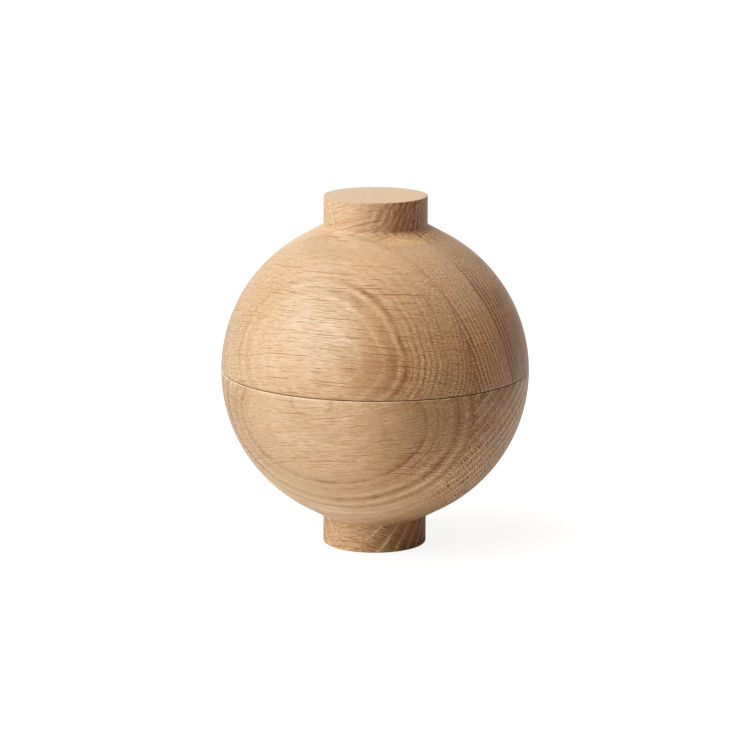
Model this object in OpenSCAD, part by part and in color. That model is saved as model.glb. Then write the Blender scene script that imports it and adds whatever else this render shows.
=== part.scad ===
// Lidded ball box, turned from solid wood: a bowl on a round foot and a lid with a round knob.
// Each half is one turned piece. Together they make a ball with a straight shoulder beside
// the knob and the foot, and a fine V-shaped groove where the two halves meet.
//
// Millimetres, +Z up. The origin is the centre of the foot's underside.

/* [Ball] */
// Diameter of the ball that the bowl and the lid make together
ball_d = 140; // [110:1:200]
// Wall thickness between the round outside and the round hollow
wall = 9; // [7:0.5:14]
// Height of the parting plane above the ball's centre
parting_rise = 1; // [0:0.5:4]
// Angle above or below the ball's equator where the straight shoulder starts
shoulder_angle = 61; // [55:0.5:66]

/* [Knob] */
// Diameter of the knob
knob_d = 47; // [30:0.5:60]
// Height of the knob's straight side
knob_h = 13.5; // [6:0.5:30]

/* [Foot] */
// Diameter of the foot
foot_d = 47; // [30:0.5:60]
// Height of the foot's straight side
foot_h = 13; // [6:0.5:30]

/* [Joint between bowl and lid] */
// Height of the bowl's raised lip above the parting plane
lip_h = 4.5; // [2:0.5:10]
// Thickness of the lip at its root
lip_t = 4; // [2.5:0.25:5.5]
// Radial clearance between the lip and the lid's rebate
lip_clearance = 0.3; // [0.1:0.05:0.6]
// Free height above the lip inside the lid's rebate
lip_headroom = 0.5; // [0.2:0.1:1.5]

/* [Edges] */
// Bevel along the outer edge of the knob's top and the foot's underside
edge_bevel = 0.4; // [0.1:0.1:2]
// Bevel along the outer edge of the bowl's rim
bowl_rim_bevel = 0.4; // [0.1:0.05:1.5]
// Bevel along the outer edge of the lid's rim
lid_rim_bevel = 0.4; // [0.1:0.05:1.5]
// Bevel along the lip's outer edge, and along the mouth of the lid's rebate
lip_bevel = 0.5; // [0.1:0.1:1]

/* [Hidden] */

$fn = 180;

bowl_wood = [0.80, 0.62, 0.42];
lid_wood = [0.83, 0.66, 0.46];

ball_r = ball_d / 2;
hollow_r = ball_r - wall;
foot_r = foot_d / 2;
knob_r = knob_d / 2;

// Where the round outside ends and the shoulder starts, from the ball's centre
shoulder_r = ball_r * cos(shoulder_angle);
shoulder_z = ball_r * sin(shoulder_angle);

// Height above or below the ball's centre at which a shoulder meets a stem of the given radius
function stem_root(stem_r) = shoulder_z + (shoulder_r - stem_r) / tan(shoulder_angle);

// Heights above the foot's underside
centre_z = foot_h + stem_root(foot_r);
parting_z = centre_z + parting_rise;

// Radii in the parting plane
rim_r = sqrt(pow(ball_r, 2) - pow(parting_rise, 2));
bore_r = sqrt(pow(hollow_r, 2) - pow(parting_rise, 2));
lip_r = bore_r + lip_t;
rebate_r = lip_r + lip_clearance;
rebate_h = lip_h + lip_headroom;

// Outside of one half, drawn upwards from height 0: round zone, straight shoulder, stem.
// The ball's centre is at height -start, so start is where the round zone begins.
module half_outline(start, stem_r, stem_h) {
    root = stem_root(stem_r);
    translate([0, -start]) {
        intersection() {
            circle(r = ball_r);
            translate([0, start]) square([ball_r, shoulder_z - start]);
        }
        polygon([[0, shoulder_z], [shoulder_r, shoulder_z], [stem_r, root], [0, root]]);
        translate([0, root]) square([stem_r, stem_h]);
    }
}

// Waste removed from a square corner at radius r and height 0, to leave a 45 degree bevel.
// side is 1 where the wood lies towards the axis, and -1 where it lies away from it;
// the wood is above height 0 where up is 1, and below it where up is -1.
module bevel_waste(r, bevel, side, up) {
    polygon([
        [r - side * bevel, 0],
        [r + side * bevel, 0],
        [r + side * bevel, up * 2 * bevel],
    ]);
}

// Half section of the lid, with height 0 at the parting plane
module lid_section() {
    difference() {
        half_outline(parting_rise, knob_r, knob_h);
        translate([0, -parting_rise]) circle(r = hollow_r);
        square([rebate_r, rebate_h]);
        bevel_waste(rim_r, lid_rim_bevel, 1, 1);
        bevel_waste(rebate_r, lip_bevel, -1, 1);
        translate([0, stem_root(knob_r) - parting_rise + knob_h])
            bevel_waste(knob_r, edge_bevel, 1, -1);
    }
}

// Half section of the bowl, with height 0 at the parting plane
module bowl_section() {
    difference() {
        union() {
            mirror([0, 1]) half_outline(-parting_rise, foot_r, foot_h);
            square([lip_r, lip_h]);
        }
        translate([0, -parting_rise]) circle(r = hollow_r);
        bevel_waste(rim_r, bowl_rim_bevel, 1, -1);
        translate([0, lip_h]) bevel_waste(lip_r, lip_bevel, 1, -1);
        translate([0, -parting_z]) bevel_waste(foot_r, edge_bevel, 1, 1);
    }
}

module bowl() {
    color(bowl_wood)
        translate([0, 0, parting_z])
            rotate_extrude() bowl_section();
}

module lid() {
    color(lid_wood)
        translate([0, 0, parting_z])
            rotate_extrude() lid_section();
}

bowl();
lid();
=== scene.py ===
import math
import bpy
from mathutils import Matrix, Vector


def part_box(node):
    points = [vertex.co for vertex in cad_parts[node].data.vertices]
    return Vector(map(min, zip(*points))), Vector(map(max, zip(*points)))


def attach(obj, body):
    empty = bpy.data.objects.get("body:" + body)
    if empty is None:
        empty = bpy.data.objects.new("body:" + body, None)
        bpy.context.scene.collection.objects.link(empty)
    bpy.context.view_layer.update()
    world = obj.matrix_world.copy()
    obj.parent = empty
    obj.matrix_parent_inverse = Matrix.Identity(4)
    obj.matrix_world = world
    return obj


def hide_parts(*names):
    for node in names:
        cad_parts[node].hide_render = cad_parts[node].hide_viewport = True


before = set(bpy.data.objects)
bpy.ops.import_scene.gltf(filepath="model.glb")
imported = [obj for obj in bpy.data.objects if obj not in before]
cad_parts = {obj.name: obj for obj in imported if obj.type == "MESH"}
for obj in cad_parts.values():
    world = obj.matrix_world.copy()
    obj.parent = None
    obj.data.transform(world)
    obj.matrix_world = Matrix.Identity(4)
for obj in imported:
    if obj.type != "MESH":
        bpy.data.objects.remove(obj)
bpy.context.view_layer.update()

from types import SimpleNamespace

import bpy
from mathutils import Matrix, Vector

bl_info = {
    "name": "Oak Ball Box",
    "version": (1, 0, 0),
    "blender": (4, 5, 0),
    "location": "3D View > Sidebar > Ball Box",
    "description": "Turns the bowl and the lid of an oak ball box and sets the studio round them",
    "category": "Object",
}

BOWL_LOW, BOWL_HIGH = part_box("bowl")
LID_LOW, LID_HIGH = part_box("lid")

MM = 0.001
# Decimals of a metre that are kept of the frame's widths, which facets narrow, and heights
WIDTH_DIGITS = 4
HEIGHT_DIGITS = 6


# ---------------------------------------------------------------------------
# What a user can change
# ---------------------------------------------------------------------------


def length(name, description, default, lowest=0.0):
    """A length in metres that shows in the scene's own unit."""
    return bpy.props.FloatProperty(
        name=name,
        description=description,
        default=default,
        min=lowest,
        unit="LENGTH",
        subtype="DISTANCE",
        precision=4,
    )


def angle(name, description, degrees):
    """An angle, given in degrees."""
    return bpy.props.FloatProperty(
        name=name,
        description=description,
        default=math.radians(degrees),
        unit="ROTATION",
        subtype="ANGLE",
    )


def share(name, description, default, highest=1.0):
    """A plain number from nought upwards."""
    return bpy.props.FloatProperty(
        name=name, description=description, default=default, min=0.0, max=highest
    )


def colour(name, description, default):
    """A linear colour."""
    return bpy.props.FloatVectorProperty(
        name=name,
        description=description,
        default=default,
        subtype="COLOR",
        size=3,
        min=0.0,
        max=1.0,
    )


class BallSizes(bpy.types.PropertyGroup):
    """Sizes of the two turned halves."""

    ball_diameter: length(
        "Ball diameter",
        "Diameter of the ball that the bowl and the lid make together",
        round(BOWL_HIGH.x - BOWL_LOW.x, WIDTH_DIGITS),
    )
    wall: length("Wall", "Thickness between the outside and the hollow", 9 * MM)
    shoulder_angle: angle(
        "Shoulder angle", "Angle above the equator where the straight shoulder starts", 61
    )
    parting_rise: length(
        "Parting rise", "Height of the parting plane above the ball's centre", 1 * MM
    )
    knob_diameter: length("Knob diameter", "Diameter of the knob", 47 * MM)
    foot_diameter: length("Foot diameter", "Diameter of the foot", 47 * MM)
    lid_top: length("Lid top", "Height of the knob's top face", round(LID_HIGH.z, HEIGHT_DIGITS))
    lip_top: length("Lip top", "Height of the lip's top", round(BOWL_HIGH.z, HEIGHT_DIGITS))
    lip_thickness: length("Lip thickness", "Thickness of the bowl's lip", 4 * MM)
    lip_clearance: length(
        "Lip clearance", "Gap between the lip and the lid's rebate", 0.3 * MM
    )
    lip_headroom: length("Lip headroom", "Free height above the lip", 0.5 * MM)
    foot_height: length("Foot height", "Height of the foot's straight side", 13 * MM)
    seam_opening: length("Seam opening", "Gap at the outer edge of the seam", 0.3 * MM)
    seam_contact: length(
        "Seam contact", "Width of the strip on which the lid sits on the bowl", 1.2 * MM
    )
    eased_edge: length("Eased edge", "Width of the sanded edges", 0.4 * MM)
    lid_bevel: length("Lid bevel", "Width of the bevel along the lid's rim", 0.14 * MM)
    bowl_bevel: length("Bowl bevel", "Depth of the bevel along the bowl's rim", 0.5 * MM)
    bowl_bevel_height: length(
        "Bowl bevel height", "Height of the bevel along the bowl's rim", 0.45 * MM
    )


class OakLook(bpy.types.PropertyGroup):
    """Colours and gloss of the oak."""

    face_grain: colour("Face grain", "Colour of wood cut along the fibre", (0.728, 0.482, 0.265))
    end_grain: colour("End grain", "Colour of wood cut across the fibre", (0.500, 0.262, 0.116))
    ring_contrast: share("Ring contrast", "Strength of the growth rings", 1.0, 2.0)
    ray_contrast: share("Ray contrast", "Strength of the rays", 1.0, 2.0)
    pore_contrast: share("Pore contrast", "Strength of the pores", 1.0, 2.0)
    roughness: share("Roughness", "Roughness of the sanded surface", 0.42)


class StudioSetting(bpy.types.PropertyGroup):
    """Camera, light and floor."""

    lens: bpy.props.FloatProperty(
        name="Lens",
        description="Focal length of the camera",
        default=157.44,
        unit="CAMERA",
    )
    distance: length("Distance", "From the camera to the ball's centre", 1.4935)
    elevation: angle("Elevation", "Angle of the camera above the ball's centre", 12.184)
    roll: angle("Roll", "Turn of the camera about its own axis", 0.207)
    ambient: share("Ambient", "Brightness of the room on the object", 0.02, 2.0)
    floor_white: colour("Floor", "Colour of the floor", (0.85, 0.85, 0.85))


# ---------------------------------------------------------------------------
# Turning
# ---------------------------------------------------------------------------

# Steps along a profile's arcs, round the axis, and round a sanded edge
ARC_STEP = math.radians(1.25)
STEPS_ROUND = 288
EASE_STEPS = 4
# Distance from an eased corner to the points that hold it, in widths of the sanded edge
EASE_HOLD = 1.6
# Radius under which a point lies on the axis
ON_AXIS = 1e-7
# Distance along a stem from the corner with its shoulder to the point that holds it
STEM_HOLD = 0.3 * MM
# Sanded width of the corner between the lid's hollow and its rebate
REBATE_EASE = 0.2 * MM


def arc(radius, start, end, centre_height):
    """Profile points from one angle above the equator to another, round the ball's centre."""
    count = max(2, math.ceil(abs(end - start) / ARC_STEP))
    points = []
    for i in range(count + 1):
        a = start + (end - start) * i / count
        points.append((radius * math.cos(a), centre_height + radius * math.sin(a), 0))
    return points


def eased(before, corner, after, width):
    """A corner sanded to a small round, with a holding point on each side of it."""
    corner = Vector(corner)
    back = (Vector(before) - corner).normalized()
    ahead = (Vector(after) - corner).normalized()
    start = corner + back * width
    end = corner + ahead * width
    points = [tuple(corner + back * width * EASE_HOLD)]
    for i in range(EASE_STEPS + 1):
        s = i / EASE_STEPS
        points.append(tuple(start * (1 - s) ** 2 + corner * 2 * s * (1 - s) + end * s**2))
    points.append(tuple(corner + ahead * width * EASE_HOLD))
    return points


def edges(path):
    """A profile from radii, heights and widths: a corner is eased where its width isn't 0."""
    points = []
    for i, (radius, height, width) in enumerate(path):
        if width:
            before = path[i - 1][:2]
            after = path[i + 1][:2]
            points.extend(eased(before, (radius, height), after, width))
        else:
            points.append((radius, height))
    return points


def turn(name, profile):
    """A solid of revolution about the vertical axis, from a profile that starts and ends on it."""
    vertices = []
    rings = []
    for radius, height in profile:
        if radius < ON_AXIS:
            rings.append([len(vertices)])
            vertices.append((0.0, 0.0, height))
            continue
        first = len(vertices)
        for i in range(STEPS_ROUND):
            a = 2 * math.pi * i / STEPS_ROUND
            vertices.append((radius * math.cos(a), radius * math.sin(a), height))
        rings.append(list(range(first, first + STEPS_ROUND)))
    faces = []
    for low, high in zip(rings, rings[1:]):
        for i in range(STEPS_ROUND):
            j = (i + 1) % STEPS_ROUND
            if len(low) == 1:
                faces.append((low[0], high[j], high[i]))
            elif len(high) == 1:
                faces.append((low[i], low[j], high[0]))
            else:
                faces.append((low[i], low[j], high[j], high[i]))
    mesh = bpy.data.meshes.new(name)
    mesh.from_pydata(vertices, [], faces)
    mesh.validate()
    mesh.shade_smooth()
    piece = bpy.data.objects.new(name, mesh)
    bpy.context.scene.collection.objects.link(piece)
    return piece


def halves(sizes):
    """The heights and radii that both halves share."""
    ball = sizes.ball_diameter / 2
    hollow = ball - sizes.wall
    knob = sizes.knob_diameter / 2
    foot = sizes.foot_diameter / 2
    shoulder = (ball * math.cos(sizes.shoulder_angle), ball * math.sin(sizes.shoulder_angle))
    slope = 1 / math.tan(sizes.shoulder_angle)
    knob_root = shoulder[1] + (shoulder[0] - knob) * slope
    foot_root = shoulder[1] + (shoulder[0] - foot) * slope
    centre = sizes.foot_height + foot_root
    rise = sizes.parting_rise
    bore = math.sqrt(hollow**2 - rise**2)
    lip = bore + sizes.lip_thickness
    rebate = lip + sizes.lip_clearance
    return SimpleNamespace(
        ball=ball,
        hollow=hollow,
        knob=knob,
        foot=foot,
        knob_root=centre + knob_root,
        foot_root=centre - foot_root,
        centre=centre,
        rise=rise,
        parting=centre + rise,
        relief=sizes.seam_opening / 2,
        rim=math.sqrt(ball**2 - rise**2),
        bore=bore,
        lip=lip,
        rebate=rebate,
        seat=rebate + sizes.seam_contact,
    )


def lid_profile(sizes):
    """From the axis under the lid's crown, down the hollow, round the rim and up to the knob."""
    h = halves(sizes)
    ease = sizes.eased_edge
    step = sizes.lip_top - h.parting + sizes.lip_headroom
    step_angle = math.asin((step + h.rise) / h.hollow)
    rim_angle = math.asin((h.rise + h.relief + sizes.lid_bevel) / h.ball)
    hollow = arc(h.hollow, math.pi / 2, step_angle, h.centre)
    hollow_end = hollow.pop()
    path = [
        *hollow,
        (*hollow_end[:2], REBATE_EASE),
        (h.rebate, h.parting + step, 0),
        (h.rebate, h.parting, ease),
        (h.seat, h.parting, 0),
        (h.seat, h.parting + h.relief, 0),
        (h.rim - sizes.lid_bevel, h.parting + h.relief, 0),
        *arc(h.ball, rim_angle, sizes.shoulder_angle, h.centre),
        (h.knob, h.knob_root, 0),
        (h.knob, h.knob_root + STEM_HOLD, 0),
        (h.knob, sizes.lid_top, ease),
        (0.0, sizes.lid_top, 0),
    ]
    return edges(path)


def bowl_profile(sizes):
    """From the axis under the foot, up the outside, over the rim and the lip, into the hollow."""
    h = halves(sizes)
    ease = sizes.eased_edge
    rim_angle = math.asin((h.rise - h.relief - sizes.bowl_bevel_height) / h.ball)
    bore_angle = math.asin(h.rise / h.hollow)
    path = [
        (0.0, 0.0, 0),
        (h.foot, 0.0, ease),
        (h.foot, h.foot_root - STEM_HOLD, 0),
        (h.foot, h.foot_root, 0),
        *arc(h.ball, -sizes.shoulder_angle, rim_angle, h.centre),
        (h.rim - sizes.bowl_bevel, h.parting - h.relief, 0),
        (h.seat, h.parting - h.relief, 0),
        (h.seat, h.parting, 0),
        (h.lip, h.parting, 0),
        (h.lip, sizes.lip_top, ease),
        (h.bore, sizes.lip_top, ease),
        *arc(h.hollow, bore_angle, -math.pi / 2, h.centre),
    ]
    return edges(path)


# ---------------------------------------------------------------------------
# Wiring of nodes
# ---------------------------------------------------------------------------

# Brightest tone that a list of tones may hold
TONE_FULL = 1.6
# Where a new stop of a ramp starts, before it gets its own place
RAMP_MIDDLE = 0.5
# Middle of the plain noise, and what brings it to about -1 to 1
NOISE_MIDDLE = 0.5
NOISE_SPREAD = 2.6
# Where a mixing node keeps its first value and its result, for each kind of value
MIX_INPUT = {"FLOAT": 2, "VECTOR": 4, "RGBA": 6}
MIX_OUTPUT = {"FLOAT": 0, "VECTOR": 1, "RGBA": 2}


class Signal:
    """A value in a node tree. Plain arithmetic on it adds the nodes that work it out."""

    def __init__(self, wiring, socket):
        self.wiring = wiring
        self.socket = socket

    def math(self, operation, *others):
        return self.wiring.math(operation, self, *others)

    def __add__(self, other):
        return self.math("ADD", other)

    def __radd__(self, other):
        return self.math("ADD", other)

    def __sub__(self, other):
        return self.math("SUBTRACT", other)

    def __rsub__(self, other):
        return self.wiring.math("SUBTRACT", other, self)

    def __mul__(self, other):
        return self.math("MULTIPLY", other)

    def __truediv__(self, other):
        return self.math("DIVIDE", other)

    def __pow__(self, other):
        return self.math("POWER", other)

    def floor(self):
        return self.math("FLOOR")

    def part(self):
        """What is left above the whole number."""
        return self.math("FRACT")

    def size(self):
        return self.math("ABSOLUTE")

    def root(self):
        return self.math("SQRT")

    def at_least(self, least):
        return self.math("MAXIMUM", least)

    def at_most(self, most):
        return self.math("MINIMUM", most)

    def above(self, limit):
        return self.math("GREATER_THAN", limit)

    def rise(self, start, end, low=0.0, high=1.0):
        """From low at start to high at end, eased at both."""
        return self.wiring.rise(self, start, end, low, high)

    def between(self, low, high):
        """From low where this is 0 to high where this is 1."""
        return self * (high - low) + low


class Wiring:
    """A node tree, with short calls for its nodes."""

    def __init__(self, tree):
        self.tree = tree

    def put(self, socket, value):
        if isinstance(value, Signal):
            self.tree.links.new(value.socket, socket)
        else:
            socket.default_value = value

    def node(self, kind, inputs, **settings):
        """A new node with its settings and its inputs, which are by name or number, or None."""
        node = self.tree.nodes.new(kind)
        for name, value in settings.items():
            setattr(node, name, value)
        for name, value in inputs.items():
            if value is not None:
                self.put(node.inputs[name], value)
        return node

    def out(self, node, name=0):
        return Signal(self, node.outputs[name])

    def source(self, kind, name):
        """One output of a node that has nothing to be set."""
        return self.out(self.node(kind, {}), name)

    def math(self, operation, *values):
        return self.out(self.node("ShaderNodeMath", dict(enumerate(values)), operation=operation))

    def rise(self, value, start, end, low=0.0, high=1.0):
        inputs = {"Value": value, "From Min": start, "From Max": end, "To Min": low, "To Max": high}
        node = self.node("ShaderNodeMapRange", inputs, interpolation_type="SMOOTHSTEP")
        return self.out(node, "Result")

    def vector(self, operation, first, second=None, output=0, scale=None):
        inputs = {0: first, 1: second, "Scale": scale}
        return self.out(self.node("ShaderNodeVectorMath", inputs, operation=operation), output)

    def dot(self, first, second):
        return self.vector("DOT_PRODUCT", first, second, output="Value")

    def join(self, x, y, z):
        return self.out(self.node("ShaderNodeCombineXYZ", {0: x, 1: y, 2: z}))

    def split(self, vector):
        node = self.node("ShaderNodeSeparateXYZ", {0: vector})
        return [Signal(self, out) for out in node.outputs]

    def choose(self, switch, first, second, kind="FLOAT"):
        """The first where switch is 0, the second where it is 1, and between them in between."""
        slot = MIX_INPUT[kind]
        inputs = {0: switch, slot: first, slot + 1: second}
        return self.out(self.node("ShaderNodeMix", inputs, data_type=kind), MIX_OUTPUT[kind])

    def scaled(self, spot, sizes):
        """A place measured in the given sizes along its three ways."""
        return self.join(*[way / size for way, size in zip(spot, sizes)])

    def noise(self, spot, sizes, detail=1):
        """Soft noise from about -1 to 1, in blobs of the given sizes."""
        inputs = {"Vector": self.scaled(spot, sizes), "Scale": 1, "Detail": detail}
        return (self.out(self.node("ShaderNodeTexNoise", inputs)) - NOISE_MIDDLE) * NOISE_SPREAD

    def cells(self, spot, sizes):
        """Distance to the middle of the nearest of many scattered cells of the given sizes."""
        inputs = {"Vector": self.scaled(spot, sizes), "Scale": 1, "Randomness": 1}
        return self.out(self.node("ShaderNodeTexVoronoi", inputs), "Distance")

    def dice(self, x, y, z):
        """Three random numbers for each whole place."""
        place = {"Vector": self.join(x, y, z)}
        node = self.node("ShaderNodeTexWhiteNoise", place, noise_dimensions="3D")
        return self.split(self.out(node, "Color"))

    def tones(self, value, stops):
        """The tone at a radius, from a short list of radii and tones."""
        low, high = stops[0][0], stops[-1][0]
        node = self.node("ShaderNodeValToRGB", {0: (value - low) / (high - low)})
        ramp = node.color_ramp
        ramp.interpolation = "EASE"
        while len(ramp.elements) < len(stops):
            ramp.elements.new(RAMP_MIDDLE)
        for element, (radius, tone) in zip(ramp.elements, stops):
            element.position = (radius - low) / (high - low)
            grey = tone / TONE_FULL
            element.color = (grey, grey, grey, 1)
        return self.out(node) * TONE_FULL


class Finish(Wiring):
    """The wiring of one material."""

    def __init__(self, name):
        self.material = bpy.data.materials.new(name)
        self.material.use_nodes = True
        super().__init__(self.material.node_tree)
        self.shader = self.tree.nodes["Principled BSDF"]
        self.place = self.node("ShaderNodeTexCoord", {})


# ---------------------------------------------------------------------------
# Boards
# ---------------------------------------------------------------------------


class Board:
    """One board of a glued-up blank.

    The fibre and its tilt are angles, in degrees, and all lengths are millimetres. The pith is
    the middle of the tree that the board was cut from. Its place is given from the ball's
    centre, across and above, seen along the fibre, and radii are measured from it.
    """

    # Radius at which lengths round the pith are true, and radius of one line between two rings
    middle = None
    first = None
    # Width of a ring outside that line, and inside it where that differs
    ring = None
    inner_ring = None
    # Radii and tones of the wood, of the lines between rings and of the strokes inside a ring:
    # a tone of 1 changes nothing
    tones = None
    lines = None
    strokes = None
    # Width of a line, distance between strokes, where in a ring they start and end, and how
    # many strokes each ring is moved on from the last
    line_width = 0.3
    stroke = None
    fill = (0.25, 0.8)
    stagger = 0.5
    # Strength of the rays, and how far they climb for each millimetre along the fibre
    ray = 1.0
    ray_rise = 0.0
    # Share of the tones that shows on faces along the fibre, and on faces to its right end
    face_share = 0.5
    open_share = None
    # How much the faces at the fibre's right end darken, how much a ring darkens towards its
    # lines, and how brown the end grain is
    shade = 0.0
    ring_wave = 0.3
    browning = 1.0
    # How far the rings climb beside the knob, for each millimetre along the fibre
    climb = 0.0
    # On a blank's first board only: a closed figure, with its place along the fibre and above
    # the ball's centre, half length and half height; and how far the rings bulge beside the
    # middle of the face
    eye = None
    swell = None

    def __init__(self, fibre, tilt, pith, **features):
        heading, lean = math.radians(fibre), math.radians(tilt)
        side = -1 if pith[0] > 0 else 1
        self.along = (
            math.sin(heading) * math.cos(lean),
            -math.cos(heading) * math.cos(lean),
            math.sin(lean),
        )
        self.across = (side * math.cos(heading), side * math.sin(heading), 0)
        self.above = (
            -math.sin(heading) * math.sin(lean),
            math.cos(heading) * math.sin(lean),
            math.cos(lean),
        )
        self.pith = (side * pith[0], pith[1])
        for name, value in features.items():
            if not hasattr(Board, name):
                raise AttributeError("a board has no " + name)
            setattr(self, name, value)
        self.inner_ring = self.inner_ring or self.ring
        self.open_share = self.open_share or self.face_share
        self.fill_from, self.fill_to = self.fill


LID_BOARDS = (
    Board(
        fibre=63.5,
        tilt=-1.3,
        pith=(-235.6, 68.2),
        middle=192,
        first=189.4,
        ring=1.9,
        tones=(
            (172, 1.10), (177.1, 1.08), (177.8, 1.16), (178.5, 1.06), (180.4, 1.03), (181.5, 0.97),
            (181.9, 1.15), (182.5, 1.13), (183.0, 0.95), (184.2, 0.89), (185.2, 0.90),
            (185.8, 1.12), (186.3, 1.10), (186.8, 0.92), (187.4, 0.81), (188.3, 0.86),
            (189.0, 1.04), (189.8, 1.10), (190.6, 0.96), (192.2, 1.08), (193.4, 0.98),
            (195.3, 1.12), (196.7, 0.98), (198.3, 1.08), (200.5, 1.0), (203, 1.04),
            (206.7, 1.04), (209.5, 0.90), (212.4, 0.84), (216, 0.72),
        ),
        lines=(
            (172, 1.0), (186, 1.0), (189, 0.5), (201, 0.4), (203.5, 1.0), (206, 1.6), (218, 1.7),
        ),
        strokes=((172, 1.0), (184, 1.0), (190, 0.72), (200, 0.55), (206, 0.46), (218, 0.46)),
        stroke=1.15,
        face_share=0.55,
        open_share=1.4,
        ray_rise=0.04,
        swell=1.4,
    ),
    Board(
        fibre=62,
        tilt=0,
        pith=(145.6, 48.3),
        middle=160,
        first=157.2,
        ring=2.27,
        inner_ring=2.75,
        tones=(
            (100, 0.80), (126, 0.78), (136, 0.73), (139, 0.70), (148, 0.71), (152.9, 0.74),
            (153.2, 0.48), (153.6, 0.50), (154.0, 1.08), (156, 1.16), (158, 1.10), (170, 1.10),
            (172, 0.9), (176, 0.8), (210, 0.8),
        ),
        lines=(
            (100, 1.1), (137, 1.2), (142, 1.9), (153, 2.0), (154.6, 1.0), (156.6, 1.0), (158, 1.7),
            (210, 1.7),
        ),
        strokes=(
            (100, 0.4), (150, 0.3), (153, 0.3), (154.6, 0.8), (156, 0.7), (158, 0.4), (210, 0.4),
        ),
        stroke=1.1,
        line_width=0.25,
        face_share=0.15,
        ring_wave=0.75,
        browning=0.9,
        climb=0.3,
    ),
    Board(
        fibre=60,
        tilt=1,
        pith=(190, -52),
        middle=150,
        first=120,
        ring=2.4,
        tones=(
            (110, 1.0), (128, 0.97), (131, 0.86), (134, 1.0), (141, 1.04), (146, 0.9),
            (149, 1.02), (160, 1.0), (164, 0.88), (168, 1.03), (190, 1.0),
        ),
        lines=((110, 0.85), (140, 0.8), (150, 1.2), (190, 1.25)),
        strokes=((110, 0.7), (140, 0.6), (190, 0.55)),
        stroke=1.3,
    ),
)

BOWL_BOARDS = (
    Board(
        fibre=69.7,
        tilt=1.4,
        pith=(-100.3, -18.3),
        middle=60,
        first=37.4,
        ring=1.93,
        tones=(
            (28, 1.16), (33, 1.13), (37.2, 1.11), (37.6, 1.04), (38.1, 1.09), (40.6, 1.07),
            (43.2, 1.04), (45.4, 0.96), (46.4, 0.90), (47.1, 0.76), (47.7, 0.80), (48.2, 1.02),
            (50.3, 0.98), (50.9, 0.84), (51.6, 0.98), (53.2, 0.96), (55.5, 1.12), (56.8, 1.04),
            (57.5, 0.84), (58.8, 0.74), (59.4, 0.92), (60.6, 1.08), (61.6, 1.28), (62.7, 1.28),
            (63.8, 0.94), (65.2, 0.86), (66, 1.1), (67.8, 1.3), (69.4, 1.13), (71.5, 1.3),
            (73.6, 1.18), (100, 1.2),
        ),
        lines=((28, 1.0), (42, 0.92), (50, 0.8), (100, 0.74)),
        strokes=((28, 1.0), (36, 0.75), (46, 0.62), (58, 0.68), (100, 0.62)),
        stroke=1.2,
        fill=(-0.5, 1.5),
        stagger=0.0,
        face_share=0.85,
        open_share=1.55,
        shade=0.14,
        ring_wave=0.0,
        ray_rise=0.13,
        eye=(-4.4, -1.4, 9.4, 5.5),
    ),
    Board(
        fibre=62,
        tilt=0,
        pith=(102.2, -137.2),
        middle=165,
        first=154.2,
        ring=4.75,
        tones=(
            (100, 0.84), (138, 0.92), (150, 0.98), (160, 0.92), (168, 0.85), (172, 0.73),
            (210, 0.70),
        ),
        lines=((100, 1.9), (150, 2.0), (165, 1.7), (210, 1.6)),
        strokes=((100, 0.2), (150, 0.2), (165, 0.35), (210, 0.45)),
        stroke=1.25,
        line_width=0.45,
        fill=(0.13, 0.9),
        ray=0.9,
        face_share=0.2,
        ring_wave=0.4,
        browning=0.5,
    ),
    Board(
        fibre=64,
        tilt=-1,
        pith=(150, 30),
        middle=115,
        first=80,
        ring=2.1,
        tones=(
            (70, 1.02), (92, 0.98), (96, 0.85), (99, 1.0), (108, 1.04), (113, 0.88),
            (116, 1.03), (124, 0.98), (127, 0.87), (131, 1.02), (150, 1.0),
        ),
        lines=((70, 0.9), (110, 0.82), (150, 0.85)),
        strokes=((70, 0.75), (110, 0.6), (150, 0.6)),
        stroke=1.5,
        fill=(-0.5, 1.5),
        stagger=0.0,
    ),
)


# ---------------------------------------------------------------------------
# Oak
# ---------------------------------------------------------------------------
#
# Pairs of numbers are spans: where something starts, and where it is at its full strength.
# Triples are the sizes of soft blobs: along the fibre, across and above, or along the fibre,
# outwards and round the pith. Lengths are millimetres. Turned is how squarely a face looks to
# the fibre's right end: 1 where it is cut straight across, 0 where it runs along the fibre,
# and -1 at the left end.

# Upright planes in which the boards are glued: their turn and their distance from the ball's
# centre; and the glue line, with half its width
GLUE_TURN = math.radians(30)
GLUE_NORMAL = (math.sin(GLUE_TURN), math.cos(GLUE_TURN), 0)
GLUE_AT = 25
GLUE_LINE = (0.06, 0.22)
GLUE_DARK = 0.22

# Heights from the ball's centre at which the knob, the foot and the lid's crown begin
KNOB_UP = (65, 67)
FOOT_DOWN = (61, 66)
CROWN_UP = (18, 48)
CLIMB_UP = (58, 66)
# How far upwards the knob's top face looks, and how much quieter the grain is there
TOP_FACE = (0.8, 0.98)
TOP_CALM = 0.4

# Waves of the rings, large to small, and how far each moves them
WAVE_SIZE = (60, 24, 24)
WAVE = 0.4
RIPPLE_SIZE = (22, 6, 6)
RIPPLE = 0.35
FEATHER_SIZE = (8, 0.8, 0.8)
FEATHER = 0.7
# Bulge of the rings: where along the fibre, where round the pith, and half its width there
SWELL_ALONG = (-6, 22)
SWELL_ROUND = -55
SWELL_WIDTH = (3, 17)
# Narrow lanes round the pith that slip past each other
SLIP_LANE = 2.4
SLIP = 0.25
SLIP_SEED = (1.3, 2.7)

# Cut of the surface: end grain, the side that looks to the fibre's right end, and how flat a
# face lies to the rays, so that it stops cutting them edge on
END_GRAIN = (0.3, 0.9)
RIGHT_SIDE = (-0.3, 0.3)
RAY_FLAT = (0.6, 0.9)
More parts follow.
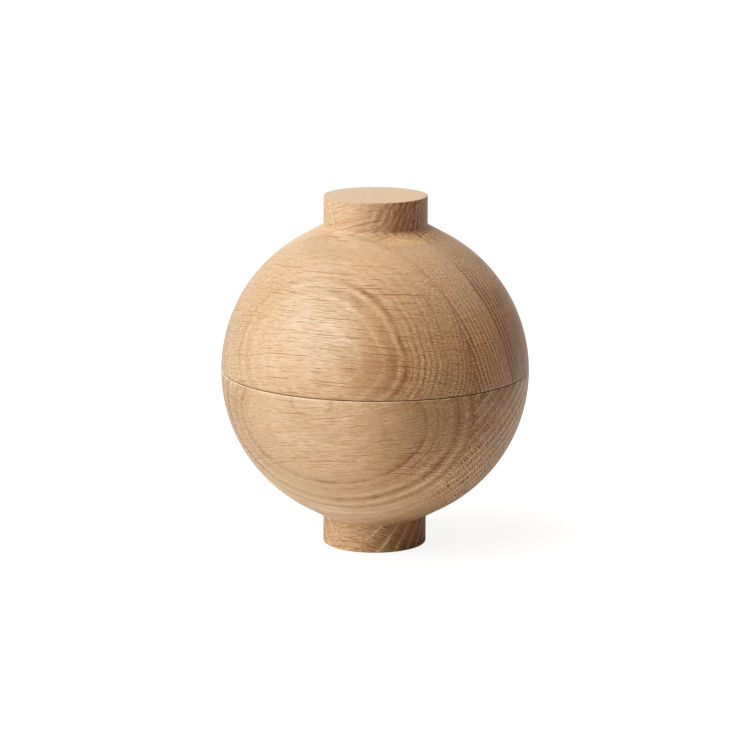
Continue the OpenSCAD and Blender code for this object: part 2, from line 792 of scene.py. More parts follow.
# Soft patches and smaller blotches in which the grain is strong or weak
PATCH_SIZE = (30, 9, 13)
BLOTCH_SIZE = (7, 5, 6)
PATCH_SPAN = (-0.5, 0.5)
# How the strokes and bands sway: size outwards, round the pith and along the fibre
SWAY_SIZE = (3, 2.5, 30)
# Open grain: how squarely the fibre has to be cut, how much is open at the left end and at the
# right end, in poor and rich patches, on the ball and on the knob, and how much the crown closes
# from this far past the board's first line
OPEN_CUT = (0.15, 0.6)
TORN = (0.55, 1.0)
OPEN_PATCH = (0.5, 1.1)
OPEN_KNOB = (1, 0.5)
OPEN_CROWN = 0.7
OPEN_CROWN_PAST = -1


class Blank:
    """Three boards glued side by side, and where a point of the wood lies in them.

    Its values are signals, for the point that is being coloured. Places are measured from the
    ball's centre, or from the pith of the board that the point lies in.
    """

    def __init__(self, finish, boards, shape):
        f = finish
        self.finish = f
        self.boards = boards
        spot = f.vector("SUBTRACT", f.out(f.place, "Object"), (0, 0, shape.centre))
        self.spot = f.vector("SCALE", spot, scale=1 / MM)
        self.sideways, self.backwards, self.height = f.split(self.spot)
        self.face = f.out(f.place, "Normal")
        self.depth = f.dot(self.spot, GLUE_NORMAL)
        self.in_second = self.depth.above(-GLUE_AT)
        self.in_third = self.depth.above(GLUE_AT)
        self.knob = self.height.rise(*KNOB_UP)
        self.foot = (0 - self.height).rise(*FOOT_DOWN)
        self.find_fibre()
        self.find_pith()
        self.find_cut()
        self.count_rings()
        self.find_open_grain()

    def pick(self, values, kind="FLOAT"):
        """The value of the board that the point lies in."""
        first_two = self.finish.choose(self.in_second, values[0], values[1], kind)
        return self.finish.choose(self.in_third, first_two, values[2], kind)

    def each(self, feature):
        """One number of each board."""
        return self.pick([getattr(board, feature) for board in self.boards])

    def direction(self, feature):
        """One direction of each board."""
        return self.pick([getattr(board, feature) for board in self.boards], "VECTOR")

    def by_radius(self, feature):
        """The tone at this radius, from one list of each board."""
        f = self.finish
        return self.pick([f.tones(self.radius, getattr(board, feature)) for board in self.boards])

    def from_pith(self, board):
        """The point seen from a board's pith: along the fibre, across and above."""
        f = self.finish
        across = f.dot(self.spot, board.across) - board.pith[0]
        above = f.dot(self.spot, board.above) - board.pith[1]
        return f.join(f.dot(self.spot, board.along), across, above)

    def grain(self, sizes, detail=1):
        """Soft noise along the fibre, across and above."""
        return self.finish.noise((self.along, self.across, self.above), sizes, detail)

    def ring_noise(self, sizes, detail=1):
        """Soft noise along the fibre, outwards from the pith and round it."""
        return self.finish.noise((self.along, self.radius, self.arc_length), sizes, detail)

    def find_fibre(self):
        """Place along and beside the fibre, and how squarely the surface cuts it."""
        f = self.finish
        place = self.pick([self.from_pith(board) for board in self.boards], "VECTOR")
        self.along, self.across, above = f.split(place)
        self.above = above - self.along * self.each("climb") * self.height.rise(*CLIMB_UP)
        self.turned = f.dot(self.face, self.direction("along"))
        self.ends = self.turned.size()
        self.end_grain = self.ends.rise(*END_GRAIN)
        self.right_side = self.turned.rise(*RIGHT_SIDE)

    def find_pith(self):
        """Distance from the pith and length round it, with the waves that wood has."""
        f = self.finish
        self.wave = self.grain(WAVE_SIZE)
        self.ripple = self.grain(RIPPLE_SIZE, detail=2)
        feather = self.grain(FEATHER_SIZE)
        radius = (self.across * self.across + self.above * self.above).root()
        radius = radius + self.wave * WAVE + self.ripple * RIPPLE
        radius = radius + feather * (1 - self.end_grain) * FEATHER
        angle_round = f.math("ARCTAN2", self.above, self.across)
        self.arc_length = angle_round * self.each("middle") + self.ripple * RIPPLE
        swell = self.boards[0].swell
        if swell:
            beside = self.along.rise(*SWELL_ALONG) * (1 - self.in_second)
            away = (self.arc_length - SWELL_ROUND).size().rise(*SWELL_WIDTH)
            radius = radius - beside * (1 - away) * swell
        self.radius = radius

    def find_cut(self):
        """How the surface cuts the wood: the knob's top, rays edge on, and soft patches."""
        f = self.finish
        self.top_face = f.split(self.face)[2].rise(*TOP_FACE) * self.knob
        self.calm = 1 - self.top_face * TOP_CALM
        self.crown = self.height.rise(*CROWN_UP) * (1 - self.knob)
        beside = f.dot(self.face, self.direction("above")) * self.across
        over = f.dot(self.face, self.direction("across")) * self.above
        along_ray = ((beside - over) / self.radius).size()
        self.edge_on = 1 - along_ray.rise(*RAY_FLAT)
        self.patch = self.ring_noise(PATCH_SIZE).rise(*PATCH_SPAN)

    def count_rings(self):
        """Which ring the point lies in, and how far through it."""
        f = self.finish
        lane = (self.arc_length / SLIP_LANE + self.wave).floor()
        slip = f.dice(lane, *SLIP_SEED)[0] - 0.5
        self.radius = self.radius + slip * SLIP
        self.past = self.radius - self.each("first")
        outside = self.past.at_least(0) / self.each("ring")
        self.phase = outside + self.past.at_most(0) / self.each("inner_ring")
        self.count = self.phase.floor()
        self.in_ring = self.phase - self.count
        self.blotch = self.ring_noise(BLOTCH_SIZE).rise(*PATCH_SPAN)
        self.sway = f.noise((self.radius, self.arc_length, self.along), SWAY_SIZE)

    def find_open_grain(self):
        """Where the cut opens the wood's pores, from 0 to about 1."""
        open_cut = self.ends.rise(*OPEN_CUT) * self.right_side.between(*TORN)
        open_cut = open_cut * self.patch.between(*OPEN_PATCH) * self.knob.between(*OPEN_KNOB)
        open_cut = open_cut * self.edge_on
        closed = self.crown * self.past.above(OPEN_CROWN_PAST) * OPEN_CROWN
        self.open_grain = open_cut * (1 - closed)


# Share of the rings' tones that shows: how squarely a face has to look to the right end, how
# much less shows on the knob, at the lid's left end, in blotches and patches, and low on the
# lid's second board
OPEN_SIDE = (-0.1, 0.25)
SHARE_KNOB = 0.7
LEFT_END = (-45, 10)
ABOVE_SEAM = (-2, 2)
SHARE_LEFT = 0.3
SHARE_BLOTCH = 0.8
SHARE_LEAST = 0.6
SHARE_END = 0.4
SHARE_PATCH = 0.9
SHARE_PLAIN = 0.55
LOW_LID = (0, 1)
LOW_LID_TOP = (4, 20)
SHARE_LOW_LID = 0.15


def ring_tone(wood):
    """The tone of the ring, weaker where the face runs along the fibre."""
    end_grain = wood.end_grain
    side = wood.turned.rise(*OPEN_SIDE)
    share = wood.finish.choose(side, wood.each("face_share"), wood.each("open_share"))
    share = (share * (1 - end_grain) + end_grain) * (1 - wood.knob * SHARE_KNOB)
    left_end = (1 - wood.along.rise(*LEFT_END)) * wood.height.rise(*ABOVE_SEAM)
    share = share * (1 - left_end * SHARE_LEFT)
    blotch = wood.blotch * (1 - end_grain) * SHARE_BLOTCH
    share = share * (blotch + SHARE_LEAST + end_grain * SHARE_END)
    low_lid = wood.height.rise(*LOW_LID) * (1 - wood.height.rise(*LOW_LID_TOP)) * wood.in_second
    share = share * (1 - low_lid * SHARE_LOW_LID)
    return 1 + (wood.by_radius("tones") - 1) * share * (wood.patch * SHARE_PATCH + SHARE_PLAIN)


# Lines between the rings: softness of their edges, how much they differ, and the dots that
# break them up
LINE_EDGE = (-0.02, 0.26)
LINE_STRENGTH = (0.6, 1.3)
LINE_SEED = (3.3, 1.7)
DOT_SIZE = (8, 1.1, 0.75)
DOT_STRENGTH = 0.8
DOT_LEVEL = 0.85


def ring_lines(wood):
    """The dotted lines between the rings, and how each ring darkens towards them."""
    dots = (wood.ring_noise(DOT_SIZE, detail=0) * DOT_STRENGTH + DOT_LEVEL).at_least(0)
    nearest = (wood.phase + 0.5).floor()
    beside = (wood.phase - nearest).size() * wood.each("ring")
    line = 1 - (beside - wood.each("line_width") * 0.5).rise(*LINE_EDGE)
    line = line * wood.finish.dice(nearest, *LINE_SEED)[0].between(*LINE_STRENGTH) * dots
    tone = (wood.by_radius("lines") - 1) * wood.open_grain
    wave = ((wood.in_ring - 0.5).size() * 2 - 0.5) * tone * wood.each("ring_wave")
    return tone * line, wave


# Strokes inside a ring: how far they sway, how much closer they stand on the foot, the softness
# of their ends and sides, how much they differ, and their strength
STROKE_SWAY = 0.7
STROKE_FOOT = 0.1
STROKE_END = 0.1
STROKE_SIDE = (0.1, 0.75)
STROKE_STRENGTH = (0.5, 1.2)
STROKE_SEED = 6.6
STROKE_BETWEEN = 0.3
STROKE_DARK = 1.7


def ring_strokes(wood):
    """Short strokes across each ring, as the end grain of oak shows."""
    spacing = wood.each("stroke") * (1 - wood.foot * STROKE_FOOT)
    lanes = wood.arc_length / spacing + wood.count * wood.each("stagger") + wood.sway * STROKE_SWAY
    lane = lanes.floor()
    start, end = wood.each("fill_from"), wood.each("fill_to")
    fill = wood.in_ring.rise(start - STROKE_END, start + STROKE_END)
    fill = fill * (1 - wood.in_ring.rise(end - STROKE_END, end + STROKE_END))
    stroke = 1 - ((lanes - lane - 0.5).size() * 2).rise(*STROKE_SIDE)
    strength = wood.finish.dice(lane, wood.count, STROKE_SEED)[0].between(*STROKE_STRENGTH)
    stroke = (stroke * strength - STROKE_BETWEEN) * fill
    return (1 - wood.by_radius("strokes")) * stroke * wood.open_grain * STROKE_DARK


# Rows of rays: distance between rows, length, half thickness, darkness
RAY_ROWS = (
    (1.1, 6.0, 0.11, 0.56),
    (2.0, 12.0, 0.14, 0.75),
    (3.7, 27.0, 0.17, 0.84),
)
# How the rows of one spacing are shifted, how much rays differ in length, place and strength,
# the softness of their edges, and the patches where there are none
ROW_SHIFT = 7.31
ROW_SLIDE = 10
ROW_SEED = 0.5
RAY_LENGTH = (0.4, 1.0)
RAY_ASIDE = 0.8
RAY_STRENGTH = (0.45, 1.0)
RAY_SOFT = (-0.03, 0.03)
RAY_GAP_SIZE = 14
RAY_GAP_SEEDS = (3.7, 5.1)
RAY_GAP = (-0.4, 0.05)
# How rays curl, and where they fade: beside the pith, on the second board's end grain, and on
# the faces that look to the left end and to the right end
CURL_SIZE = (7, 9, 4)
CURL = 0.2
RAY_PITH = (15, 30)
RAY_END = 0.6
RAY_LEFT_SIDE = (-0.6, -0.1)
RAY_LEFT = (0.5, 1.0)
RAY_RIGHT_SIDE = (0.4, 0.7)
RAY_RIGHT = 0.35


def ray_layer(wood, sheet, row, reach, half_width, seed):
    """Rays in rows of one spacing: thin sheets that run outwards and show as slim spindles."""
    f = wood.finish
    lanes = sheet / row + seed * ROW_SHIFT
    lane = lanes.floor()
    steps = wood.along / reach + f.dice(lane, seed, ROW_SEED)[0] * ROW_SLIDE
    cell = steps.floor()
    luck = f.dice(lane, cell, seed + ROW_SEED)
    where = (steps - cell - 0.5) * 2 / luck[1].between(*RAY_LENGTH)
    width = (1 - where * where).at_least(0).root() * half_width
    aside = ((lanes - lane - 0.5) * row - (luck[0] - 0.5) * (row * RAY_ASIDE)).size()
    lane_seed, cell_seed = RAY_GAP_SEEDS
    gap = f.noise((wood.radius, lane * lane_seed, cell * cell_seed), (RAY_GAP_SIZE, 1, 1))
    return (width - aside).rise(*RAY_SOFT) * gap.rise(*RAY_GAP) * luck[2].between(*RAY_STRENGTH)


def ray_marks(wood, look):
    """How much of a ray the surface shows, from 0 to 1."""
    curl = wood.ring_noise(CURL_SIZE, detail=0) * CURL
    sheet = wood.arc_length + curl - wood.along * wood.each("ray_rise")
    rays = None
    for seed, (row, reach, half_width, darkness) in enumerate(RAY_ROWS, start=1):
        layer = ray_layer(wood, sheet, row, reach, half_width, seed) * darkness
        rays = rays.at_least(layer) if rays else layer
    rays = rays * wood.each("ray") * wood.radius.rise(*RAY_PITH) * look.ray_contrast
    rays = rays * (1 - wood.in_second * wood.end_grain * RAY_END) * wood.edge_on * wood.calm
    left = wood.turned.rise(*RAY_LEFT_SIDE).between(*RAY_LEFT)
    return rays * left * (1 - wood.turned.rise(*RAY_RIGHT_SIDE) * RAY_RIGHT)


# Pores: their size round the pith, outwards and along the fibre, and how they crowd into the
# first part of each ring
PORE_SIZE = (0.55, 0.5, 6)
PORE = (0.15, 0.4)
PORE_RING = (0.3, 0.75)
PORE_CROWD = (0.3, 1.0)


def pore_marks(wood):
    """How much of a pore the surface shows, from 0 to 1."""
    pore = wood.finish.cells((wood.arc_length, wood.radius, wood.along), PORE_SIZE)
    early = 1 - wood.in_ring.rise(*PORE_RING)
    return (1 - pore.rise(*PORE)) * early.between(*PORE_CROWD) * wood.calm


# Darkness of pores: in the dark wood of a ring, on end grain, and anywhere
PORE_EARLY = 1.6
PORE_END = 0.3
PORE_DARK = 0.32
# The lid's crown, which is darker where it doesn't look to the right end, and the side on
# which a board's shade shows
CROWN_SIDE = (0.0, 0.4)
CROWN_DARK = 0.06
SHADE_SIDE = (0.15, 0.45)
# Fine grain in the rings, on end grain, on the right side and anywhere; hair-thin streaks
# along the fibre, stronger on the foot; and broad clouds
FINE_SIZE = (5, 0.62, 0.55)
FINE_END = 0.82
FINE_RIGHT_END = 0.32
FINE_RIGHT = 0.05
FINE = 0.08
HAIR_SIZE = (7, 0.45, 0.45)
HAIR = 0.12
HAIR_FOOT = 0.5
CLOUD_SIZE = (45, 12, 12)
CLOUD = 0.03


def grain_factors(wood, look, tone, pores):
    """What the lines, strokes, pores and fibres multiply the ring's tone by."""
    line, wave_in_ring = ring_lines(wood)
    right_side, end_grain = wood.right_side, wood.end_grain
    pore_dark = (1 - tone).at_least(0) * PORE_EARLY + end_grain * PORE_END + PORE_DARK
    fine = end_grain * (FINE_END - right_side * FINE_RIGHT_END) + right_side * FINE_RIGHT + FINE
    streaks = wood.grain(HAIR_SIZE) * wood.calm * (HAIR + wood.foot * (1 - end_grain) * HAIR_FOOT)
    return (
        1 + line * look.ring_contrast,
        1 - ring_strokes(wood) * look.ring_contrast,
        1 + wave_in_ring,
        1 - wood.crown * (1 - wood.turned.rise(*CROWN_SIDE)) * CROWN_DARK,
        1 - pores * pore_dark * look.pore_contrast,
        1 - wood.turned.rise(*SHADE_SIDE) * wood.each("shade"),
        1 + wood.ring_noise(FINE_SIZE) * fine,
        1 + streaks,
        1 + wood.grain(CLOUD_SIZE, detail=2) * CLOUD,
    )


# The eye's wavy outline, the dark rim from its inner to its outer edge, and its paler middle
EYE_RIPPLE = 0.04
EYE_RIM = (0.9, 1.0)
EYE_OUTSIDE = (1.02, 1.14)
EYE_DARK = 0.13
EYE_INSIDE = (0.85, 1.0)
EYE_PALE = 0.05


def eye_factors(wood):
    """What the closed figure on the first board multiplies the tone by."""
    board = wood.boards[0]
    if not board.eye:
        return ()
    middle, up, half_length, half_height = board.eye
    on_face = (1 - wood.in_second) * wood.across.above(0)
    far_along = ((wood.along - middle) / half_length) ** 2
    far_up = ((wood.above + board.pith[1] - up) / half_height) ** 2
    edge = (far_along + far_up).root() + wood.ripple * EYE_RIPPLE
    rim = edge.rise(*EYE_RIM) * (1 - edge.rise(*EYE_OUTSIDE)) * on_face
    return 1 - rim * EYE_DARK, 1 + (1 - edge.rise(*EYE_INSIDE)) * on_face * EYE_PALE


# Painted shade in the seam's gap, over the real groove: its half width, the side away from the
# window where it is wider, how far inside the rim it starts and ends, and how dark it is painted
GAP = (0.19, 0.32)
GAP_LEE = (5, 50)
GAP_WIDER = 0.17
GAP_INNER = (5, 4)
GAP_OUTER = 0.3
GAP_PAINTED_SHADE = 0.94
# A painted highlight on the bowl's rim edge under the seam: how far under the seam, its half
# width, and how far inside the rim
EDGE_HIGHLIGHT_DOWN = 0.5
EDGE_HIGHLIGHT = (0.15, 0.32)
EDGE_HIGHLIGHT_INNER = (2, 1)


def painted_seam_light(wood, shape):
    """Painted shade in the seam's gap, and a painted highlight on the rim edge under it."""
    rim = shape.rim / MM
    above_seam = wood.height - shape.rise / MM
    radius = (wood.sideways * wood.sideways + wood.backwards * wood.backwards).root()
    wider = wood.sideways.rise(*GAP_LEE) * GAP_WIDER
    gap = 1 - (above_seam.size() - wider).rise(*GAP)
    gap = gap * radius.rise(*[rim - inner for inner in GAP_INNER])
    gap = gap * (1 - radius.rise(rim - GAP_OUTER, rim))
    edge_highlight = 1 - (above_seam + EDGE_HIGHLIGHT_DOWN).size().rise(*EDGE_HIGHLIGHT)
    return gap, edge_highlight * radius.rise(*[rim - inner for inner in EDGE_HIGHLIGHT_INNER])


# Bands on the knob's right side: their width, lean and sway, where they show, and how strongly
BAND_WIDTH = 2.9
BAND_LEAN = 0.35
BAND_SWAY = 1.5
BAND_SIDE = (0.25, 0.7)
BAND_STRENGTH = (0.25, 0.75)


def knob_bands(wood):
    """Bands across the knob's end grain."""
    lanes = (wood.radius + wood.above * BAND_LEAN + wood.sway * BAND_SWAY) / BAND_WIDTH
    return ((lanes.part() - 0.5).size() * 2 - 0.5) * wood.knob * wood.turned.rise(*BAND_SIDE)


# How much paler or darker the sides of the knob and the foot are: the knob's sides are made paler
# as painted light, except at the fibre's right end, and the foot's sides darker as painted shade
# under the ball, less where the fibre is cut square; and the painted highlight on the rim edge
KNOB_PALE_SIDE = (0.3, 0.75)
KNOB_PALE = 0.1
KNOB_DARK_SIDE = (0.4, 0.8)
KNOB_DARK = 0.08
FOOT_DARK_SIDE = (0.2, 0.6)
FOOT_DARK = (0.05, 0.15)
FOOT_PALE_SIDE = (0.85, 0.98)
FOOT_PALE = 0.26
EDGE_HIGHLIGHT_SIDE = (0.1, 0.6)
EDGE_HIGHLIGHT_PALE = (0.22, 0.92)


def side_factor(wood, edge_highlight):
    """What painted light and shade on the knob, the foot and the rim edge multiply the tone by."""
    turned = wood.turned
    pale = wood.knob * (1 - turned.rise(*KNOB_PALE_SIDE)) * (1 - wood.top_face) * KNOB_PALE
    foot_dark = turned.rise(*FOOT_DARK_SIDE).between(*FOOT_DARK)
    dark = wood.foot * (foot_dark - turned.rise(*FOOT_PALE_SIDE) * FOOT_PALE)
    dark = dark + wood.knob * turned.rise(*KNOB_DARK_SIDE) * KNOB_DARK
    return 1 + pale - dark + edge_highlight * turned.rise(*EDGE_HIGHLIGHT_SIDE).between(*EDGE_HIGHLIGHT_PALE)


# Brown of the end grain: how fast it comes as the fibre is cut more squarely, what the knob
# and the foot add, a last rise, its limit, and what the knob's bands take away
BROWN_POWER = 2.4
BROWN_STEM = 1.02
BROWN_SQUARE = (0.62, 0.92)
BROWN_MORE = 0.38
BROWN_MOST = 1.4
BROWN_BAND = 0.25


def brownness(wood, band):
    """How far the colour has gone from face grain to end grain."""
    stem = wood.knob + wood.foot
    brown = wood.ends**BROWN_POWER * wood.each("browning")
    brown = brown * (1 + stem * wood.right_side * BROWN_STEM)
    brown = (brown * (1 + wood.ends.rise(*BROWN_SQUARE) * BROWN_MORE)).at_most(BROWN_MOST)
    return brown * (1 - band * BROWN_BAND)


# Soft paler and darker areas on the front: place sideways and up from the ball's centre, half
# width, half height, and how much red, green and blue change. Most are painted light and shade,
# set for this studio's light and camera: the area at (19, 65) is painted light that lifts the
# knob's shadow, those at (32, -5), (56, 4), (10, -19) and (54, -24) are painted shade on the side
# away from the lamps, the pale one at (-24, 34) is a painted sheen highlight on the lid, and the
# one at (-67, 8) is a painted reflection along the far left edge. The other three only make
# their places paler or darker.
TONE_AND_PAINTED_LIGHT_AREAS = (
    (-24, 34, 21, 25, (0.03, 0.14, 0.31)),
    (2, 12, 18, 13, (-0.13, -0.20, -0.26)),
    (32, -5, 27, 22, (-0.14, -0.13, -0.17)),
    (56, 4, 11, 30, (-0.10, -0.07, -0.08)),
    (20, -38, 19, 10, (0.07, 0.10, 0.17)),
    (-67, 8, 9, 28, (0.05, 0.14, 0.22)),
    (19, 65, 20, 3.5, (0.34, 0.36, 0.30)),
    (-22, 60, 13, 6, (-0.08, -0.08, -0.10)),
    (10, -19, 14, 10, (-0.07, -0.07, -0.09)),
    (54, -24, 8, 13, (-0.09, -0.09, -0.08)),
)
# How far in front of the ball's centre the areas come in, and their soft edge
FRONT = (-5, 15)
AREA_EDGE = (0.1, 1.0)


def tone_and_painted_light_areas(wood):
    """Each area's strength, with the change that it makes: painted light and shade for most."""
    front = (0 - wood.backwards).rise(*FRONT)
    areas = []
    for aside, up, half_width, half_height, change in TONE_AND_PAINTED_LIGHT_AREAS:
        far_aside = (wood.sideways - aside) / half_width
        far_up = (wood.height - up) / half_height
        area = 1 - (far_aside * far_aside + far_up * far_up).rise(*AREA_EDGE)
        areas.append((area * front, change))
    return areas


# How strongly red, green and blue follow the wood's tone, a ray, the warmth that grows along
# a board, and the tint between its fibres; and the darkest tone that the wood may have
WOOD_HUE = (0.76, 1.06, 1.6)
RAY_HUE = (0.52, 1.0, 1.7)
WARM_HUE = (0.01, -0.10, -0.22)
TINT_HUE = (0.03, -0.016, -0.05)
WARM_ALONG = (-32, 32)
WARM_MIDDLE = 0.45
TINT_SIZE = (16, 2.2, 2.2)
DARKEST = 0.22


def oak_colour(wood, look, tone, rays, brown):
    """Red, green and blue of the oak."""
    warm = wood.along.rise(*WARM_ALONG) - WARM_MIDDLE
    tint = wood.grain(TINT_SIZE)
    areas = tone_and_painted_light_areas(wood)
    parts = {}
    hues = zip(WOOD_HUE, RAY_HUE, WARM_HUE, TINT_HUE, look.face_grain, look.end_grain)
    for i, (wood_hue, ray_hue, warm_hue, tint_hue, flat, end) in enumerate(hues):
        part = tone.at_least(DARKEST) ** wood_hue * (1 - rays) ** ray_hue
        part = part * (1 + warm * warm_hue) * (1 + tint * tint_hue)
        # The soft areas, most of them painted light and shade for this studio
        for area, change in areas:
            part = part * (1 + area * change[i])
        parts[i] = part * (flat + brown * (end - flat))
    return wood.finish.out(wood.finish.node("ShaderNodeCombineColor", parts))


# Depth of pores, rays and glue lines, as shares of the deepest dent; how much rougher a dent
# is; and the height of the relief
PORE_DENT = 0.5
RAY_DENT = 0.6
GLUE_DENT = 0.3
DENT_ROUGHER = 0.12
RELIEF_STRENGTH = 0.5
RELIEF = 0.05 * MM


def oak(name, boards, look, shape):
    """Solid oak, glued up from three boards: rings, rays, pores and glue lines go right through."""
    f = Finish(name)
    wood = Blank(f, boards, shape)
    pores = pore_marks(wood)
    rays = ray_marks(wood, look)
    # Painted shade in the seam's gap, and a painted highlight on the rim edge under it
    gap, edge_highlight = painted_seam_light(wood, shape)
    band = knob_bands(wood)
    glue = 1 - (wood.depth.size() - GLUE_AT).size().rise(*GLUE_LINE)

    tone = ring_tone(wood)
    factors = [*grain_factors(wood, look, tone, pores), *eye_factors(wood)]
    # The glue line, and the painted shade in the seam's gap
    factors += [1 - glue * GLUE_DARK, 1 - gap * GAP_PAINTED_SHADE]
    # The knob's bands; painted light and shade on the knob and foot, and the painted rim highlight
    factors += [1 + band * wood.blotch.between(*BAND_STRENGTH), side_factor(wood, edge_highlight)]
    for factor in factors:
        tone = tone * factor

    brown = brownness(wood, band)
    f.put(f.shader.inputs["Base Color"], oak_colour(wood, look, tone, rays, brown))
    dent = pores * PORE_DENT + rays * RAY_DENT + glue * GLUE_DENT
    f.put(f.shader.inputs["Roughness"], dent * DENT_ROUGHER + look.roughness)
    relief = {"Strength": RELIEF_STRENGTH, "Distance": RELIEF, "Height": 0 - dent}
    f.put(f.shader.inputs["Normal"], f.out(f.node("ShaderNodeBump", relief), "Normal"))
    return f.material


# ---------------------------------------------------------------------------
# Studio
# ---------------------------------------------------------------------------

# Sensor in millimetres, shift in parts of the picture, and what the camera can see, in metres
SENSOR_WIDTH = 36
SHIFT_X = -0.00016
SHIFT_Y = -0.00716
NEAREST = 0.05
FARTHEST = 60


def studio_camera(context):
    """The camera, aimed at the ball's centre."""
    studio = context.scene.studio
    centre = Vector((0, 0, halves(context.scene.ball_sizes).centre))
    back = Vector((0, -math.cos(studio.elevation), math.sin(studio.elevation)))
    right = Vector((1, 0, 0))
    up = back.cross(right)
    turned_right = right * math.cos(studio.roll) + up * math.sin(studio.roll)
    turned_up = up * math.cos(studio.roll) - right * math.sin(studio.roll)
    data = bpy.data.cameras.new("studio_camera")
    data.sensor_width = SENSOR_WIDTH
    data.lens = studio.lens
    data.shift_x = SHIFT_X
    data.shift_y = SHIFT_Y
    data.clip_start = NEAREST
    data.clip_end = FARTHEST
    camera = bpy.data.objects.new("studio_camera", data)
    turn_to = Matrix((turned_right, turned_up, back)).transposed().to_4x4()
    camera.matrix_world = Matrix.Translation(centre + back * studio.distance) @ turn_to
    context.scene.collection.objects.link(camera)
    context.scene.camera = camera


# Direction a lamp stands in (turn from the camera, height above the floor), strength, softness
LAMPS = (
    ("window_low", -75, 8, 0.46, 60),
    ("window_high", -75, 55, 0.57, 70),
    ("front_low", -50, 8, 0.14, 50),
    ("front_high", -45, 55, 0.12, 70),
    ("top_back", 120, 57, 0.21, 70),
    ("low_back", -160, 8, 0.13, 50),
)
LAMP_AWAY = 2


def studio_lamps(context):
    """Soft lamps, which light the whole floor alike."""
    for name, around, height, strength, softness in LAMPS:
        a, e = math.radians(around), math.radians(height)
        aim = Vector((math.sin(a) * math.cos(e), -math.cos(a) * math.cos(e), math.sin(e)))
        data = bpy.data.lights.new(name, "SUN")
        data.energy = math.pi * strength
        data.angle = math.radians(softness)
        lamp = bpy.data.objects.new(name, data)
        lamp.rotation_mode = "QUATERNION"
        lamp.rotation_quaternion = aim.to_track_quat("Z", "Y")
        lamp.location = aim * LAMP_AWAY
        context.scene.collection.objects.link(lamp)


# Direction of the bright wall that the wood's gloss shows, where the wall starts and ends, and
# its brightness there
BRIGHT_WALL = (-0.6, 0.8, 0.1)
WALL_SPAN = (-0.7, 0.7)
WALL_LIGHT = (0.08, 0.6)
WHITE = (1, 1, 1, 1)


def studio_room(context):
    """A room that the camera sees as white, and that is dim to the object but for one wall."""
    world = bpy.data.worlds.new("white_room")
    context.scene.world = world
    world.use_nodes = True
    world.cycles.sampling_method = "NONE"
    room = Wiring(world.node_tree)
    ways = room.node("ShaderNodeLightPath", {})
    toward = room.dot(room.source("ShaderNodeTexCoord", "Generated"), BRIGHT_WALL)
    wall = toward.rise(*WALL_SPAN, *WALL_LIGHT)
    dim = room.choose(room.out(ways, "Is Glossy Ray"), context.scene.studio.ambient, wall)
    seen = room.out(ways, "Is Camera Ray").at_least(room.out(ways, "Is Transmission Ray"))
    background = room.tree.nodes["Background"]
    room.put(background.inputs["Color"], WHITE)
    room.put(background.inputs["Strength"], room.choose(seen, dim, 1.0))


# Half the floor's side in metres, its grey to the camera, and the glow that makes it white
FLOOR_HALF = 12.0
FLOOR_SEEN = (0.3, 0.3, 0.3, 1)
FLOOR_GLOW = 0.85


def floor_paint(white):
    """White paint that keeps a faint shadow, shows white to the camera and is clear from below."""
    paint = bpy.data.materials.new("floor_white")
    paint.use_nodes = True
    floor = Wiring(paint.node_tree)
    floor.tree.nodes.clear()
    seen = floor.source("ShaderNodeLightPath", "Is Camera Ray")
    shade = floor.choose(seen, (*white, 1), FLOOR_SEEN, "RGBA")
    matt = floor.out(floor.node("ShaderNodeBsdfDiffuse", {"Color": shade}))
    glow = floor.out(floor.node("ShaderNodeEmission", {"Strength": seen * FLOOR_GLOW}))
    both = floor.out(floor.node("ShaderNodeAddShader", {0: matt, 1: glow}))
    below = floor.source("ShaderNodeNewGeometry", "Backfacing")
    clear = floor.source("ShaderNodeBsdfTransparent", "BSDF")
    surface = floor.out(floor.node("ShaderNodeMixShader", {0: below, 1: both, 2: clear}))
    floor.node("ShaderNodeOutputMaterial", {"Surface": surface})
    return paint


def studio_floor(context):
    """A wide flat floor."""
    half = FLOOR_HALF
    mesh = bpy.data.meshes.new("studio_floor")
    corners = [(-half, -half, 0), (half, -half, 0), (half, half, 0), (-half, half, 0)]
    mesh.from_pydata(corners, [], [(0, 1, 2, 3)])
    mesh.materials.append(floor_paint(context.scene.studio.floor_white))
    floor = bpy.data.objects.new("studio_floor", mesh)
    context.scene.collection.objects.link(floor)


# ---------------------------------------------------------------------------
# Operators
# ---------------------------------------------------------------------------


class BALLBOX_OT_turn_bowl(bpy.types.Operator):
    """Turns the bowl with its foot and its lip"""

    bl_idname = "ballbox.turn_bowl"
    bl_label = "Turn Bowl"

    def execute(self, context):
        bowl = turn("turned_bowl", bowl_profile(context.scene.ball_sizes))
        shape = halves(context.scene.ball_sizes)
        bowl.data.materials.append(oak("bowl_oak", BOWL_BOARDS, context.scene.oak_look, shape))
        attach(bowl, "root")
        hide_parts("bowl")
        return {"FINISHED"}


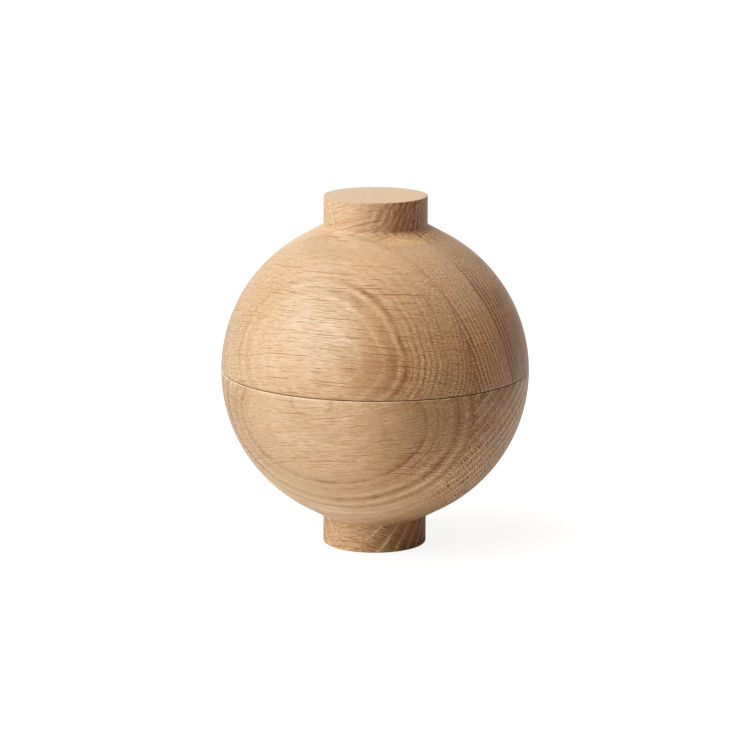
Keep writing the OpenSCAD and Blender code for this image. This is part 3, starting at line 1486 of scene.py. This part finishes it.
class BALLBOX_OT_turn_lid(bpy.types.Operator):
    """Turns the lid with its knob and its rebate"""

    bl_idname = "ballbox.turn_lid"
    bl_label = "Turn Lid"

    def execute(self, context):
        lid = turn("turned_lid", lid_profile(context.scene.ball_sizes))
        shape = halves(context.scene.ball_sizes)
        lid.data.materials.append(oak("lid_oak", LID_BOARDS, context.scene.oak_look, shape))
        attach(lid, "root")
        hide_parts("lid")
        return {"FINISHED"}


class BALLBOX_OT_set_studio(bpy.types.Operator):
    """Sets the floor, the lamps, the white room and the camera"""

    bl_idname = "ballbox.set_studio"
    bl_label = "Set Studio"

    def execute(self, context):
        studio_camera(context)
        studio_lamps(context)
        studio_room(context)
        studio_floor(context)
        context.scene.view_settings.view_transform = "Standard"
        return {"FINISHED"}


class BALLBOX_PT_bench(bpy.types.Panel):
    """Lists the sizes, the look and the steps that make the box"""

    bl_label = "Ball Box"
    bl_idname = "BALLBOX_PT_bench"
    bl_space_type = "VIEW_3D"
    bl_region_type = "UI"
    bl_category = "Ball Box"

    def draw(self, context):
        for group in (context.scene.ball_sizes, context.scene.oak_look, context.scene.studio):
            box = self.layout.box()
            for name in group.__annotations__:
                box.prop(group, name)
        for step in STEPS:
            self.layout.operator(step.bl_idname)


STEPS = (BALLBOX_OT_turn_bowl, BALLBOX_OT_turn_lid, BALLBOX_OT_set_studio)
CLASSES = (BallSizes, OakLook, StudioSetting, *STEPS, BALLBOX_PT_bench)


def register():
    for item in CLASSES:
        bpy.utils.register_class(item)
    bpy.types.Scene.ball_sizes = bpy.props.PointerProperty(type=BallSizes)
    bpy.types.Scene.oak_look = bpy.props.PointerProperty(type=OakLook)
    bpy.types.Scene.studio = bpy.props.PointerProperty(type=StudioSetting)


def unregister():
    del bpy.types.Scene.studio
    del bpy.types.Scene.oak_look
    del bpy.types.Scene.ball_sizes
    for item in reversed(CLASSES):
        bpy.utils.unregister_class(item)


def main():
    register()
    bpy.ops.ballbox.turn_bowl()
    bpy.ops.ballbox.turn_lid()
    bpy.ops.ballbox.set_studio()


if __name__ == "__main__":
    main()
